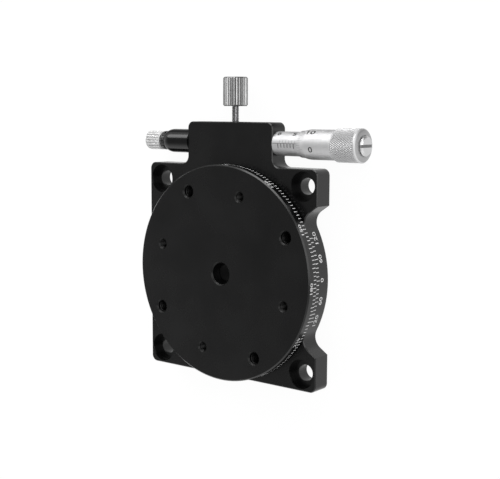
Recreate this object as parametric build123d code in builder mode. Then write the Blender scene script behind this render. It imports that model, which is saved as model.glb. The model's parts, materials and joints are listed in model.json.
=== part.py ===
from build123d import *
from math import cos, hypot, pi, radians, sin
import os

# Rotation stage with a micrometer fine drive, in millimetres.
# The origin is the centre of the base's mounting face. +Z is the rotation axis and points
# out of the table, +X runs along the micrometer towards its thimble, and +Y runs from the
# rotation axis to the clamp knob.

# Fits and gaps
running_fit = 0.05          # radial, between pieces that turn or slide in each other
locating_fit = 0.02         # radial, between pieces that are fixed in each other
face_gap = 0.25             # between flat faces that move past each other
table_gap = 0.3             # between the base's top face and the table
edge_break = 0.25           # small chamfer on machined edges
contact_gap = 0.06          # between a drive tip and its pad on the arm
corner_match = 0.01         # how near a corner lies to the place it is looked for

# Base plate
plate_width = 59.2
plate_corner_radius = 1.8
ring_setback = 0.1          # from the plate's side to the bulge that carries the vernier
lug_angle = 34.0            # from the X axis to the flank of a corner lug
scallop_radius = 3.5        # between the lug's flank and the round bulge
mount_inset = 4.6           # corner holes for M4 screws, from the plate's sides
mount_hole_radius = 2.25
mount_head_radius = 4.0
mount_head_depth = 2.2
centre_bore_radius = 3.0
floor_thickness = 1.15
cavity_gap = 1.5            # round pocket under the table, outside the arm's ring

# Drive block, in one piece with the plate
block_width = 30.0
block_end = 5.6             # from the micrometer's axis to the clamp knob's side
block_corner_radius = 1.8
block_root_radius = 2.3
block_end_wall = 1.6        # between the pocket and that side
web_thickness = 1.15        # over the arm
drive_offset = 6.3          # from the plate's edge to the micrometer's axis
stem_wall = 0.5             # round the plunger; both housings have the same stem
pocket_side_gap = 0.6       # beside the arm at its limits

# Bearing between the post and the table
bearing_bore_radius = 10.0
bearing_width = 4.0
bearing_shoulder_height = 0.45   # land above the floor, under the inner ring
bearing_setback = 0.2       # from the base's top face down to the bearing
race_wall = 1.1
race_gap = 1.3              # between the two rings
ball_radius = 1.0
ball_count = 12
race_play = 0.03            # radial, between a ball and its groove
cage_thickness = 0.8
cage_width = 3.0
cage_play = 0.06            # radial, between a ball and its pocket
post_spigot_wall = 1.6
post_spigot_length = 0.7
post_flange_thickness = 0.4

# Table
table_radius = 30.0
table_thickness = 3.4
table_edge_break = 0.35
table_rest_angle = 28.0     # of the first large tapped hole, from the X axis
table_pattern_count = 4
table_large_circle = 25.0   # M4 tapping holes
table_large_radius = 1.65
table_small_circle = 22.5   # M3 tapping holes, halfway between the large ones
table_small_radius = 1.25
tapped_mouth = 0.35         # radial width of the countersink at a tapped hole
skirt_wall = 4.5            # the arm's ring and the clamp pad run on its outside
race_land_width = 0.9       # the outer ring's seat inside the skirt

# Arm that the table is clamped to
arm_swing = 5.0             # degrees each way
arm_ring_width = 4.45
arm_width = 6.0
arm_end_gap = 0.7           # from the arm's end to the pocket's wall
arm_root_radius = 3.0
contact_pad_radius = 1.2
contact_pad_thickness = 1.0
contact_pad_stand = 0.2     # proud of the arm's side

# Clamp screw, M2, along +Y through the arm
clamp_screw_radius = 1.0
clamp_pad_length = 2.0
clamp_slot_gap = 0.3
clamp_knob_gap = 4.3        # from the block to the knob
clamp_knob_length = 7.9
clamp_knob_radius = 3.4
clamp_knob_flutes = 28
clamp_knob_flute_side = 0.4
clamp_knob_socket = 4.0
knob_edge_break = 0.35

# Micrometer head, along +X
drive_pitch = 0.5           # feed for one turn
spindle_radius = 1.25
tip_length = 3.2
tip_spigot_radius = 0.7
tip_spigot_length = 1.4
thread_radius = 1.85
spindle_thread_length = 10.6
sleeve_radius = 3.25
sleeve_length = 20.0        # outside the block
sleeve_thread_length = 11.0
thimble_reading = 8.0       # from the block to the thimble's edge
thimble_length = 18.8
thimble_edge_wall = 0.25
thimble_wall = 0.65
thimble_bevel_length = 3.2
knurl_start = 10.7          # from the thimble's edge
knurl_length = 7.5
knurl_height = 0.45
knurl_end_break = 0.3
thimble_end_radius = 3.25
thimble_end_wall = 3.0
cap_neck_radius = 2.1
cap_neck_length = 0.35
cap_radius = 2.65
cap_tip_radius = 2.2
cap_length = 0.9
cap_slot_width = 0.75
cap_slot_depth = 0.4
cap_stud_radius = 0.85
cap_stud_length = 0.3

# Spring plunger, along -X
plunger_radius = 1.45
plunger_wall = 0.35
plunger_nose_wall = 1.2     # between the end of the bore and the ball nose
collar_thickness = 0.6
housing_wall = 1.15
housing_radius = 3.35
housing_length = 9.8       # outside the block
housing_nose_length = 2.7
housing_nose_wall = 0.3
plug_thickness = 1.0
seat_thickness = 0.5
seat_spigot_length = 0.5
preload_screw_radius = 1.0
preload_travel = 0.5
spring_wire_radius = 0.15
spring_gap = 0.1            # round the spring and inside it
spring_pitch = 2.2
lock_ring_length = 1.25
lock_ring_radius = 2.7
lock_ring_notches = 12
preload_knob_length = 5.4
preload_knob_radius = 2.7
preload_knob_flutes = 20
preload_knob_flute_side = 0.4

# Small fasteners
post_screw_radius = 1.0     # M2 countersunk
post_screw_head_radius = 1.9
post_screw_length = 4.0
post_screw_count = 4
post_screw_angle = 45.0     # of the first one, from the X axis
cover_screw_radius = 0.8    # M1.6 countersunk
cover_screw_head_radius = 1.5
cover_screw_length = 3.2
screw_cone_angle = 90.0
driver_radius = 0.45        # hexagon socket in a screw head
driver_depth = 0.4
set_screw_radius = 1.0      # M2
set_screw_length = 3.0
set_screw_driver_radius = 0.5
set_screw_driver_depth = 1.0

# Rear cover under the arm
cover_thickness = 0.85
cover_reach = 1.8           # inside the plate's edge
cover_margin = 0.8          # from the cover to the block's end
cover_land = 3.5            # beside the pocket
cover_gap = 0.1
cover_corner_radius = 1.0
cover_screw_inset = 1.7     # from the cover's edges

# Places that follow from the sizes above
ring_radius = plate_width / 2 - ring_setback
mount_spacing = plate_width - 2 * mount_inset
drive_radius = plate_width / 2 + drive_offset
block_top_y = drive_radius + block_end
shoulder_z = floor_thickness + bearing_shoulder_height
bearing_top_z = shoulder_z + bearing_width
plate_thickness = bearing_top_z + bearing_setback
drive_z = plate_thickness / 2
table_bottom_z = plate_thickness + table_gap
table_top_z = table_bottom_z + table_thickness
inner_race_radius = bearing_bore_radius + race_wall
outer_race_radius = inner_race_radius + race_gap
bearing_outer_radius = outer_race_radius + race_wall
post_spigot_radius = centre_bore_radius + post_spigot_wall
post_screw_circle = (post_spigot_radius + bearing_bore_radius) / 2
post_top_z = bearing_top_z + post_flange_thickness
skirt_bore_radius = bearing_outer_radius + locating_fit
skirt_radius = bearing_outer_radius + skirt_wall
arm_bottom_z = floor_thickness + face_gap
arm_top_z = plate_thickness - web_thickness - face_gap
arm_thickness = arm_top_z - arm_bottom_z
arm_bore_radius = skirt_radius + running_fit
arm_ring_radius = arm_bore_radius + arm_ring_width
cavity_radius = arm_ring_radius + cavity_gap
pocket_outer_y = block_top_y - block_end_wall
arm_end_y = pocket_outer_y - arm_end_gap
pocket_half_width = arm_width / 2 + arm_end_y * sin(radians(arm_swing)) + pocket_side_gap
block_face_x = block_width / 2
cover_inner_y = plate_width / 2 - cover_reach
cover_outer_y = block_top_y - cover_margin
cover_half_width = pocket_half_width + cover_land
cover_screw_x = cover_half_width - cover_screw_inset
set_screw_x = (cover_screw_x + block_face_x) / 2
clamp_knob_y = block_top_y + clamp_knob_gap
stem_radius = plunger_radius + running_fit + stem_wall
drive_travel = radians(arm_swing) * drive_radius
pad_face_x = arm_width / 2 + contact_pad_stand
tip_end_x = pad_face_x + contact_gap
tip_root_x = tip_end_x + tip_length
drive_plane = Plane(origin=(0, drive_radius, drive_z), x_dir=(1, 0, 0), z_dir=(0, 0, 1))
drive_axis = Axis((0, drive_radius, drive_z), (1, 0, 0))
clamp_plane = Plane(origin=(0, 0, drive_z), x_dir=(0, 1, 0), z_dir=(0, 0, 1))
clamp_axis = Axis((0, 0, drive_z), (0, 1, 0))
underside = Plane(origin=(0, 0, 0), x_dir=(1, 0, 0), z_dir=(0, 0, -1))

os.makedirs("parts", exist_ok=True)


def save(piece, name):
    """Label a finished piece and write its STEP file."""
    piece.label = name
    export_step(piece, f"parts/{name}.step")


# Base plate: a square with the drive block, cut back to a round bulge where the vernier is
with BuildSketch() as scallop:
    lug_x = plate_width * cos(radians(lug_angle))
    lug_y = plate_width * sin(radians(lug_angle))
    with BuildLine():
        Polyline((0, 0), (lug_x, lug_y), (lug_x, -lug_y), close=True)
    make_face()
    Circle(ring_radius, mode=Mode.SUBTRACT)

with BuildSketch() as plate_outline:
    Rectangle(plate_width, plate_width)
    fillet(plate_outline.vertices(), plate_corner_radius)
    with Locations((0, block_top_y / 2)):
        Rectangle(block_width, block_top_y)
    add(scallop.sketch, mode=Mode.SUBTRACT)
    ring_roots = [
        v for v in plate_outline.vertices() if abs(hypot(v.X, v.Y) - ring_radius) < corner_match
    ]
    fillet(ring_roots, scallop_radius)
    fillet(plate_outline.vertices().group_by(Axis.Y)[-1], block_corner_radius)
    block_roots = [
        v for v in plate_outline.vertices()
        if abs(abs(v.X) - block_face_x) < corner_match
        and abs(v.Y - plate_width / 2) < corner_match
    ]
    fillet(block_roots, block_root_radius)

cover_middle_y = (cover_inner_y + cover_outer_y) / 2
cover_screw_places = [
    (side * cover_screw_x, y)
    for side in (-1, 1)
    for y in (cover_inner_y + cover_screw_inset, cover_outer_y - cover_screw_inset)
]

with BuildPart() as base_plate:
    add(plate_outline.sketch)
    extrude(amount=plate_thickness)
    chamfer(base_plate.faces().sort_by(Axis.Z)[-1].outer_wire().edges(), edge_break)
    chamfer(base_plate.faces().sort_by(Axis.Z)[0].outer_wire().edges(), edge_break)
    # Round pocket under the table, with the land for the bearing in the middle
    with BuildSketch(Plane.XY.offset(floor_thickness)):
        Circle(cavity_radius)
    extrude(amount=plate_thickness, mode=Mode.SUBTRACT)
    with BuildSketch(Plane.XY.offset(floor_thickness)):
        Circle(inner_race_radius - edge_break)
    extrude(amount=bearing_shoulder_height)
    with BuildSketch(Plane.XY.offset(shoulder_z)):
        Circle(post_spigot_radius + locating_fit)
    extrude(amount=-post_spigot_length, mode=Mode.SUBTRACT)
    # Way for the arm, milled from above under the table and from below in the block
    channel_end_y = cover_inner_y + edge_break
    with BuildSketch(Plane.XY.offset(floor_thickness)):
        with Locations((0, channel_end_y / 2)):
            Rectangle(2 * pocket_half_width, channel_end_y)
        Circle(cavity_radius - edge_break, mode=Mode.SUBTRACT)
    extrude(amount=plate_thickness, mode=Mode.SUBTRACT)
    with BuildSketch() as arm_pocket:
        with Locations((0, (cover_inner_y + pocket_outer_y) / 2)):
            Rectangle(2 * pocket_half_width, pocket_outer_y - cover_inner_y)
        fillet(arm_pocket.vertices().group_by(Axis.Y)[-1], edge_break)
    extrude(amount=plate_thickness - web_thickness, mode=Mode.SUBTRACT)
    with BuildSketch() as cover_recess:
        with Locations((0, cover_middle_y)):
            Rectangle(
                2 * (cover_half_width + cover_gap), cover_outer_y - cover_inner_y + 2 * cover_gap
            )
        fillet(cover_recess.vertices(), cover_corner_radius + cover_gap)
    extrude(amount=cover_thickness, mode=Mode.SUBTRACT)
    with BuildSketch(Plane.XY.offset(cover_thickness)):
        with Locations(*cover_screw_places):
            Circle(cover_screw_radius + locating_fit)
    extrude(amount=cover_screw_length, mode=Mode.SUBTRACT)
    # Bores for the two drive stems, their set screws and the slot for the clamp screw
    with BuildSketch(Plane.YZ):
        with Locations((drive_radius, drive_z)):
            Circle(stem_radius + locating_fit)
    extrude(amount=block_width, both=True, mode=Mode.SUBTRACT)
    end_face = Plane(origin=(0, block_top_y, drive_z), x_dir=(1, 0, 0), z_dir=(0, 1, 0))
    with BuildSketch(end_face):
        with Locations((-set_screw_x, 0), (set_screw_x, 0)):
            Circle(set_screw_radius + locating_fit)
    extrude(amount=drive_radius - block_top_y, mode=Mode.SUBTRACT)
    slot_reach = block_top_y * sin(radians(arm_swing)) + clamp_screw_radius + clamp_slot_gap
    with BuildSketch(end_face):
        SlotOverall(2 * slot_reach, 2 * (clamp_screw_radius + clamp_slot_gap))
    extrude(amount=-2 * block_end_wall, mode=Mode.SUBTRACT)
    # Holes for the mounting screws, the post's screws and the line of sight
    with Locations((0, 0, plate_thickness)):
        with GridLocations(mount_spacing, mount_spacing, 2, 2):
            CounterBoreHole(mount_hole_radius, mount_head_radius, mount_head_depth)
    with Locations(underside):
        Hole(centre_bore_radius, depth=plate_thickness)
        with PolarLocations(post_screw_circle, post_screw_count, start_angle=post_screw_angle):
            CounterSinkHole(
                post_screw_radius + locating_fit,
                post_screw_head_radius,
                depth=plate_thickness,
                counter_sink_angle=screw_cone_angle,
            )
save(base_plate.part, "base_plate")

# Bearing post: spigot in the base, journal for the inner ring, flange that holds the ring down
with BuildPart() as bearing_post:
    with BuildSketch(Plane.XZ):
        with BuildLine():
            Polyline(
                (centre_bore_radius, shoulder_z - post_spigot_length),
                (post_spigot_radius, shoulder_z - post_spigot_length),
                (post_spigot_radius, shoulder_z),
                (bearing_bore_radius, shoulder_z),
                (bearing_bore_radius, bearing_top_z),
                (inner_race_radius - edge_break, bearing_top_z),
                (inner_race_radius - edge_break, post_top_z),
                (centre_bore_radius, post_top_z),
                close=True,
            )
        make_face()
    revolve(axis=Axis.Z)
    with Locations(Plane(origin=(0, 0, shoulder_z), z_dir=(0, 0, -1))):
        with PolarLocations(post_screw_circle, post_screw_count, start_angle=post_screw_angle):
            Hole(post_screw_radius + locating_fit, depth=post_screw_length - shoulder_z)
save(bearing_post.part, "bearing_post")


def countersunk_screws(places, radius, head_radius, length):
    """Countersunk screws driven upwards, heads flush with z = 0, as one group of solids."""
    head_height = head_radius - radius
    with BuildPart() as screws:
        with BuildSketch(Plane.XZ) as half:
            with BuildLine():
                Polyline(
                    (0, 0),
                    (head_radius - locating_fit, 0),
                    (radius - locating_fit, head_height),
                    (radius - locating_fit, length - radius / 2),
                    (radius / 2, length),
                    (0, length),
                    close=True,
                )
            make_face()
        revolve(axis=Axis.Z)
        with BuildSketch():
            RegularPolygon(driver_radius, 6)
        extrude(amount=driver_depth, mode=Mode.SUBTRACT)
    return Compound(children=[screws.part.moved(place) for place in places])


post_screw_ring = PolarLocations(post_screw_circle, post_screw_count, start_angle=post_screw_angle)
post_screws = countersunk_screws(
    post_screw_ring.locations, post_screw_radius, post_screw_head_radius, post_screw_length
)
save(post_screws, "post_screws")

# Ball bearing: grooved rings, balls and a band cage with a round pocket for each ball
ball_circle = (inner_race_radius + outer_race_radius) / 2
ball_z = shoulder_z + bearing_width / 2


def bearing_ring(inner, outer):
    """A ring of the bearing with the ball groove cut into its face."""
    with BuildPart() as ring:
        with BuildSketch(Plane.XY.offset(shoulder_z)):
            Circle(outer)
            Circle(inner, mode=Mode.SUBTRACT)
        extrude(amount=bearing_width)
        with BuildSketch(Plane.XZ):
            with Locations((ball_circle, ball_z)):
                Circle(ball_radius + race_play)
        revolve(axis=Axis.Z, mode=Mode.SUBTRACT)
    return ring.part


save(bearing_ring(bearing_bore_radius + locating_fit, inner_race_radius), "bearing_inner_ring")
save(bearing_ring(outer_race_radius, bearing_outer_radius), "bearing_outer_ring")

with BuildPart() as bearing_balls:
    with Locations((0, 0, ball_z)):
        with PolarLocations(ball_circle, ball_count):
            Sphere(ball_radius)
save(bearing_balls.part, "bearing_balls")

with BuildPart() as bearing_cage:
    with BuildSketch(Plane.XY.offset(ball_z - cage_width / 2)):
        Circle(ball_circle + cage_thickness / 2)
        Circle(ball_circle - cage_thickness / 2, mode=Mode.SUBTRACT)
    extrude(amount=cage_width)
    for place in PolarLocations(0, ball_count):
        pocket_plane = Plane(
            origin=(0, 0, ball_z), x_dir=(0, 0, 1), z_dir=place.x_axis.direction
        )
        with BuildSketch(pocket_plane):
            Circle(ball_radius + cage_play)
        extrude(amount=bearing_outer_radius, mode=Mode.SUBTRACT)
save(bearing_cage.part, "bearing_cage")

# Rear cover and its screws
with BuildPart() as rear_cover:
    with BuildSketch() as cover_outline:
        with Locations((0, cover_middle_y)):
            Rectangle(2 * cover_half_width, cover_outer_y - cover_inner_y)
        fillet(cover_outline.vertices(), cover_corner_radius)
    extrude(amount=cover_thickness)
    for x, y in cover_screw_places:
        with Locations(Plane(origin=(x, y, 0), x_dir=(1, 0, 0), z_dir=(0, 0, -1))):
            CounterSinkHole(
                cover_screw_radius + locating_fit,
                cover_screw_head_radius,
                depth=plate_thickness,
                counter_sink_angle=screw_cone_angle,
            )
save(rear_cover.part, "rear_cover")

cover_screws = countersunk_screws(
    [Location((x, y, 0)) for x, y in cover_screw_places],
    cover_screw_radius,
    cover_screw_head_radius,
    cover_screw_length,
)
save(cover_screws, "cover_screws")

# Table: top plate with its tapped holes, and the skirt that holds the bearing's outer ring
with BuildPart() as rotary_table:
    relief_z = post_top_z + table_gap
    with BuildSketch(Plane.XZ):
        with BuildLine():
            Polyline(
                (centre_bore_radius, table_top_z),
                (table_radius - table_edge_break, table_top_z),
                (table_radius, table_top_z - table_edge_break),
                (table_radius, table_bottom_z + edge_break),
                (table_radius - edge_break, table_bottom_z),
                (skirt_radius, table_bottom_z),
                (skirt_radius, arm_bottom_z),
                (skirt_bore_radius, arm_bottom_z),
                (skirt_bore_radius, bearing_top_z),
                (skirt_bore_radius - race_land_width, bearing_top_z),
                (skirt_bore_radius - race_land_width, relief_z),
                (centre_bore_radius, relief_z),
                close=True,
            )
        make_face()
    revolve(axis=Axis.Z)
    with Locations((0, 0, table_top_z)):
        CounterSinkHole(centre_bore_radius, centre_bore_radius + tapped_mouth, table_thickness)
        with PolarLocations(table_large_circle, table_pattern_count, start_angle=table_rest_angle):
            CounterSinkHole(table_large_radius, table_large_radius + tapped_mouth, table_thickness)
        small_angle = table_rest_angle + 180 / table_pattern_count
        with PolarLocations(table_small_circle, table_pattern_count, start_angle=small_angle):
            CounterSinkHole(table_small_radius, table_small_radius + tapped_mouth, table_thickness)
save(rotary_table.part, "rotary_table")

# Arm: a ring that runs on the skirt, and a tang that reaches into the block's pocket
with BuildPart() as fine_arm:
    with BuildSketch(Plane.XY.offset(arm_bottom_z)) as arm_outline:
        Circle(arm_ring_radius)
        with Locations((0, arm_end_y / 2)):
            Rectangle(arm_width, arm_end_y)
        arm_roots = [
            v for v in arm_outline.vertices() if abs(hypot(v.X, v.Y) - arm_ring_radius) < corner_match
        ]
        fillet([v for v in arm_roots if v.Y > 0], arm_root_radius)
        Circle(arm_bore_radius, mode=Mode.SUBTRACT)
    extrude(amount=arm_thickness)
    fillet(fine_arm.edges().filter_by(Axis.Z).group_by(Axis.Y)[-1], edge_break)
    with BuildSketch(Plane.XZ.offset(-skirt_radius)):
        with Locations((0, drive_z)):
            Circle(clamp_screw_radius + running_fit)
    extrude(amount=-arm_end_y, mode=Mode.SUBTRACT)
    for side in (-1, 1):
        pad_plane = Plane(
            origin=(side * arm_width / 2, drive_radius, drive_z), z_dir=(side, 0, 0)
        )
        with BuildSketch(pad_plane):
            Circle(contact_pad_radius + locating_fit)
        extrude(amount=contact_pad_stand - contact_pad_thickness, mode=Mode.SUBTRACT)
save(fine_arm.part, "fine_arm")

with BuildPart() as contact_pads:
    for side in (-1, 1):
        pad_plane = Plane(origin=(side * pad_face_x, drive_radius, drive_z), z_dir=(side, 0, 0))
        with BuildSketch(pad_plane):
            Circle(contact_pad_radius)
        extrude(amount=-contact_pad_thickness)
save(contact_pads.part, "contact_pads")

# Clamp: pad against the skirt, screw through the arm, fluted knob
pad_start_y = arm_bore_radius
screw_start_y = pad_start_y + clamp_pad_length + locating_fit

with BuildPart() as clamp_pad:
    with BuildSketch(clamp_plane):
        with BuildLine():
            Polyline(
                (pad_start_y - clamp_screw_radius, 0),
                (screw_start_y - locating_fit, 0),
                (screw_start_y - locating_fit, clamp_screw_radius),
                (pad_start_y - clamp_screw_radius, clamp_screw_radius),
                close=True,
            )
        make_face()
    revolve(axis=clamp_axis)
    with BuildSketch():
        Circle(arm_bore_radius)
    extrude(amount=plate_thickness, mode=Mode.SUBTRACT)
save(clamp_pad.part, "clamp_pad")

knob_socket_end_y = clamp_knob_y + clamp_knob_socket

with BuildPart() as clamp_screw:
    with BuildSketch(clamp_plane):
        with BuildLine():
            Polyline(
                (screw_start_y, 0),
                (screw_start_y, clamp_screw_radius - edge_break),
                (screw_start_y + edge_break, clamp_screw_radius),
                (knob_socket_end_y, clamp_screw_radius),
                (knob_socket_end_y, 0),
                close=True,
            )
        make_face()
    revolve(axis=clamp_axis)
save(clamp_screw.part, "clamp_screw")


def fluted_knob(plane, axis, start, end, radius, socket, socket_radius, flutes, flute_side):
    """A round knob with straight V flutes and a blind socket at its start, along the plane's x."""
    bevel = knob_edge_break if end > start else -knob_edge_break
    with BuildPart() as knob:
        with BuildSketch(plane):
            with BuildLine():
                Polyline(
                    (start, 0),
                    (start, radius - knob_edge_break),
                    (start + bevel, radius),
                    (end - bevel, radius),
                    (end, radius - knob_edge_break),
                    (end, 0),
                    close=True,
                )
            make_face()
        revolve(axis=axis)
        across = Plane(origin=plane.from_local_coords((start, 0, 0)), z_dir=axis.direction)
        with BuildSketch(across):
            with PolarLocations(radius, flutes):
                Rectangle(flute_side, flute_side, rotation=45)
        extrude(amount=end - start, mode=Mode.SUBTRACT)
        with BuildSketch(across):
            Circle(socket_radius)
        extrude(amount=socket if end > start else -socket, mode=Mode.SUBTRACT)
    return knob.part


clamp_knob = fluted_knob(
    clamp_plane, clamp_axis, clamp_knob_y, clamp_knob_y + clamp_knob_length, clamp_knob_radius,
    clamp_knob_socket, clamp_screw_radius + locating_fit, clamp_knob_flutes, clamp_knob_flute_side,
)
save(clamp_knob, "clamp_knob")

# Micrometer sleeve: stem in the block, graduated barrel, bore for the spindle and its thread
sleeve_start_x = pocket_half_width + face_gap
sleeve_end_x = block_face_x + sleeve_length

with BuildPart() as micrometer_sleeve:
    with BuildSketch(drive_plane):
        with BuildLine():
            thread_end_x = sleeve_end_x - sleeve_thread_length
            Polyline(
                (sleeve_start_x, spindle_radius + running_fit),
                (sleeve_start_x, stem_radius),
                (block_face_x, stem_radius),
                (block_face_x, sleeve_radius),
                (sleeve_end_x - edge_break, sleeve_radius),
                (sleeve_end_x, sleeve_radius - edge_break),
                (sleeve_end_x, thread_radius + running_fit),
                (thread_end_x, thread_radius + running_fit),
                (thread_end_x, spindle_radius + running_fit),
                close=True,
            )
        make_face()
    revolve(axis=drive_axis)
save(micrometer_sleeve.part, "micrometer_sleeve")

# Ball tip that doesn't turn, carried on the spindle's spigot
with BuildPart() as spindle_tip:
    with BuildSketch(drive_plane):
        with BuildLine():
            ball_edge = (tip_end_x + spindle_radius, spindle_radius)
            CenterArc((tip_end_x + spindle_radius, 0), spindle_radius, 90, 90)
            Polyline(
                ball_edge,
                (tip_root_x, spindle_radius),
                (tip_root_x, tip_spigot_radius + running_fit),
                (tip_root_x - tip_spigot_length - running_fit, tip_spigot_radius + running_fit),
                (tip_root_x - tip_spigot_length - running_fit, 0),
                (tip_end_x, 0),
            )
        make_face()
    revolve(axis=drive_axis)
save(spindle_tip.part, "spindle_tip")

thimble_edge_x = block_face_x + thimble_reading
thimble_end_x = thimble_edge_x + thimble_length
thimble_wall_x = thimble_end_x - thimble_end_wall
thimble_bore_radius = sleeve_radius + running_fit
thimble_edge_radius = thimble_bore_radius + thimble_edge_wall
thimble_radius = thimble_bore_radius + thimble_wall
knurl_start_x = thimble_edge_x + knurl_start
knurl_end_x = knurl_start_x + knurl_length
knurl_radius = thimble_radius + knurl_height
thread_start_x = thimble_wall_x - spindle_thread_length

with BuildPart() as micrometer_spindle:
    with BuildSketch(drive_plane):
        with BuildLine():
            Polyline(
                (tip_root_x + locating_fit - tip_spigot_length, 0),
                (tip_root_x + locating_fit - tip_spigot_length, tip_spigot_radius),
                (tip_root_x + locating_fit, tip_spigot_radius),
                (tip_root_x + locating_fit, spindle_radius),
                (thread_start_x, spindle_radius),
                (thread_start_x, thread_radius),
                (thimble_wall_x, thread_radius),
                (thimble_wall_x, spindle_radius),
                (thimble_end_x, spindle_radius),
                (thimble_end_x, cap_stud_radius),
                (thimble_end_x + cap_stud_length, cap_stud_radius),
                (thimble_end_x + cap_stud_length, 0),
                close=True,
            )
        make_face()
    revolve(axis=drive_axis)
save(micrometer_spindle.part, "micrometer_spindle")

# Thimble: bevelled edge, smooth barrel, knurled grip and a tapered end round the cap
with BuildPart() as thimble:
    with BuildSketch(drive_plane):
        with BuildLine():
            bevel_end_x = thimble_edge_x + thimble_bevel_length
            bevel_middle_x = (thimble_edge_x + bevel_end_x) / 2
            Bezier(
                (thimble_edge_x, thimble_edge_radius),
                (bevel_middle_x, thimble_edge_radius),
                (bevel_middle_x, thimble_radius),
                (bevel_end_x, thimble_radius),
            )
            Polyline(
                (bevel_end_x, thimble_radius),
                (knurl_start_x, thimble_radius),
                (knurl_start_x + knurl_end_break, knurl_radius),
                (knurl_end_x, knurl_radius),
                (knurl_end_x + knurl_end_break, knurl_radius - knurl_end_break),
                (thimble_end_x, thimble_end_radius),
                (thimble_end_x, spindle_radius + locating_fit),
                (thimble_wall_x, spindle_radius + locating_fit),
                (thimble_wall_x, thimble_bore_radius),
                (thimble_edge_x, thimble_bore_radius),
                (thimble_edge_x, thimble_edge_radius),
            )
        make_face()
    revolve(axis=drive_axis)
save(thimble.part, "thimble")

with BuildPart() as thimble_cap:
    cap_base_x = thimble_end_x + cap_neck_length
    cap_end_x = thimble_end_x + cap_length
    with BuildSketch(drive_plane):
        with BuildLine():
            Polyline(
                (thimble_end_x, cap_stud_radius + locating_fit),
                (thimble_end_x, cap_neck_radius),
                (cap_base_x, cap_neck_radius),
                (cap_base_x, cap_radius),
                (cap_end_x - edge_break, cap_tip_radius + edge_break),
                (cap_end_x, cap_tip_radius),
                (cap_end_x, 0),
                (thimble_end_x + cap_stud_length + locating_fit, 0),
                (thimble_end_x + cap_stud_length + locating_fit, cap_stud_radius + locating_fit),
                close=True,
            )
        make_face()
    revolve(axis=drive_axis)
    cap_face = Plane(origin=(cap_end_x, drive_radius, drive_z), x_dir=(0, 1, 0), z_dir=(1, 0, 0))
    with BuildSketch(cap_face):
        Rectangle(cap_slot_width, 2 * cap_radius)
    extrude(amount=-cap_slot_depth, mode=Mode.SUBTRACT)
save(thimble_cap.part, "thimble_cap")

# Set screws that hold the two stems in the block
with BuildPart() as set_screw:
    with BuildSketch(Plane.XY) as half:
        set_screw_start = drive_radius + stem_radius
        with BuildLine():
            Polyline(
                (0, set_screw_start),
                (set_screw_radius / 2, set_screw_start),
                (set_screw_radius, set_screw_start + set_screw_radius / 2),
                (set_screw_radius, set_screw_start + set_screw_length - edge_break),
                (set_screw_radius - edge_break, set_screw_start + set_screw_length),
                (0, set_screw_start + set_screw_length),
                close=True,
            )
        make_face()
    revolve(axis=Axis.Y)
    with BuildSketch(Plane.XZ.offset(-set_screw_start - set_screw_length)):
        RegularPolygon(set_screw_driver_radius, 6)
    extrude(amount=set_screw_driver_depth, mode=Mode.SUBTRACT)
stem_set_screws = Compound(
    children=[set_screw.part.moved(Location((side * set_screw_x, 0, drive_z))) for side in (-1, 1)]
)
save(stem_set_screws, "stem_set_screws")

# Plunger housing: stem in the block, barrel with a rounded end, open for its plug
housing_bore_radius = housing_radius - housing_wall
housing_nose_radius = housing_bore_radius + housing_nose_wall
housing_end_x = block_face_x + housing_length
barrel_bore_x = block_face_x + edge_break
plug_face_x = housing_end_x - plug_thickness
collar_x = barrel_bore_x + drive_travel + face_gap / 2

with BuildPart() as plunger_housing:
    with BuildSketch(drive_plane):
        with BuildLine():
            nose_start_x = housing_end_x - housing_nose_length
            Polyline(
                (-nose_start_x, housing_radius),
                (-block_face_x, housing_radius),
                (-block_face_x, stem_radius),
                (-sleeve_start_x, stem_radius),
                (-sleeve_start_x, plunger_radius + running_fit),
                (-barrel_bore_x, plunger_radius + running_fit),
                (-barrel_bore_x, housing_bore_radius),
                (-housing_end_x, housing_bore_radius),
                (-housing_end_x, housing_nose_radius),
            )
            Bezier(
                (-housing_end_x, housing_nose_radius),
                (-housing_end_x + housing_nose_length / 3, housing_radius),
                (-nose_start_x, housing_radius),
            )
        make_face()
    revolve(axis=drive_axis)
save(plunger_housing.part, "plunger_housing")

with BuildPart() as housing_plug:
    with BuildSketch(drive_plane):
        with BuildLine():
            Polyline(
                (-plug_face_x, preload_screw_radius + running_fit),
                (-plug_face_x, housing_bore_radius - locating_fit),
                (-housing_end_x, housing_bore_radius - locating_fit),
                (-housing_end_x, preload_screw_radius + running_fit),
                close=True,
            )
        make_face()
    revolve(axis=drive_axis)
save(housing_plug.part, "housing_plug")

# Hollow plunger with a ball nose and a collar that keeps it in the housing
plunger_bore_radius = plunger_radius - plunger_wall
spring_radius = plunger_bore_radius - spring_gap - spring_wire_radius

with BuildPart() as plunger_pin:
    nose_x = -(tip_end_x + plunger_radius)
    collar_end_x = collar_x + collar_thickness
    bore_end_x = nose_x - plunger_nose_wall
    with BuildSketch(drive_plane):
        with BuildLine():
            CenterArc((nose_x, 0), plunger_radius, 0, 90)
            Polyline(
                (nose_x, plunger_radius),
                (-collar_x, plunger_radius),
                (-collar_x, housing_bore_radius - running_fit),
                (-collar_end_x, housing_bore_radius - running_fit),
                (-collar_end_x, plunger_bore_radius),
                (bore_end_x, plunger_bore_radius),
                (bore_end_x, 0),
                (nose_x + plunger_radius, 0),
            )
        make_face()
    revolve(axis=drive_axis)
save(plunger_pin.part, "plunger_pin")

# Spring seat on the end of the preload screw
seat_back_x = plug_face_x - face_gap
seat_front_x = seat_back_x - seat_thickness
seat_spigot_radius = spring_radius - spring_wire_radius - spring_gap

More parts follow.
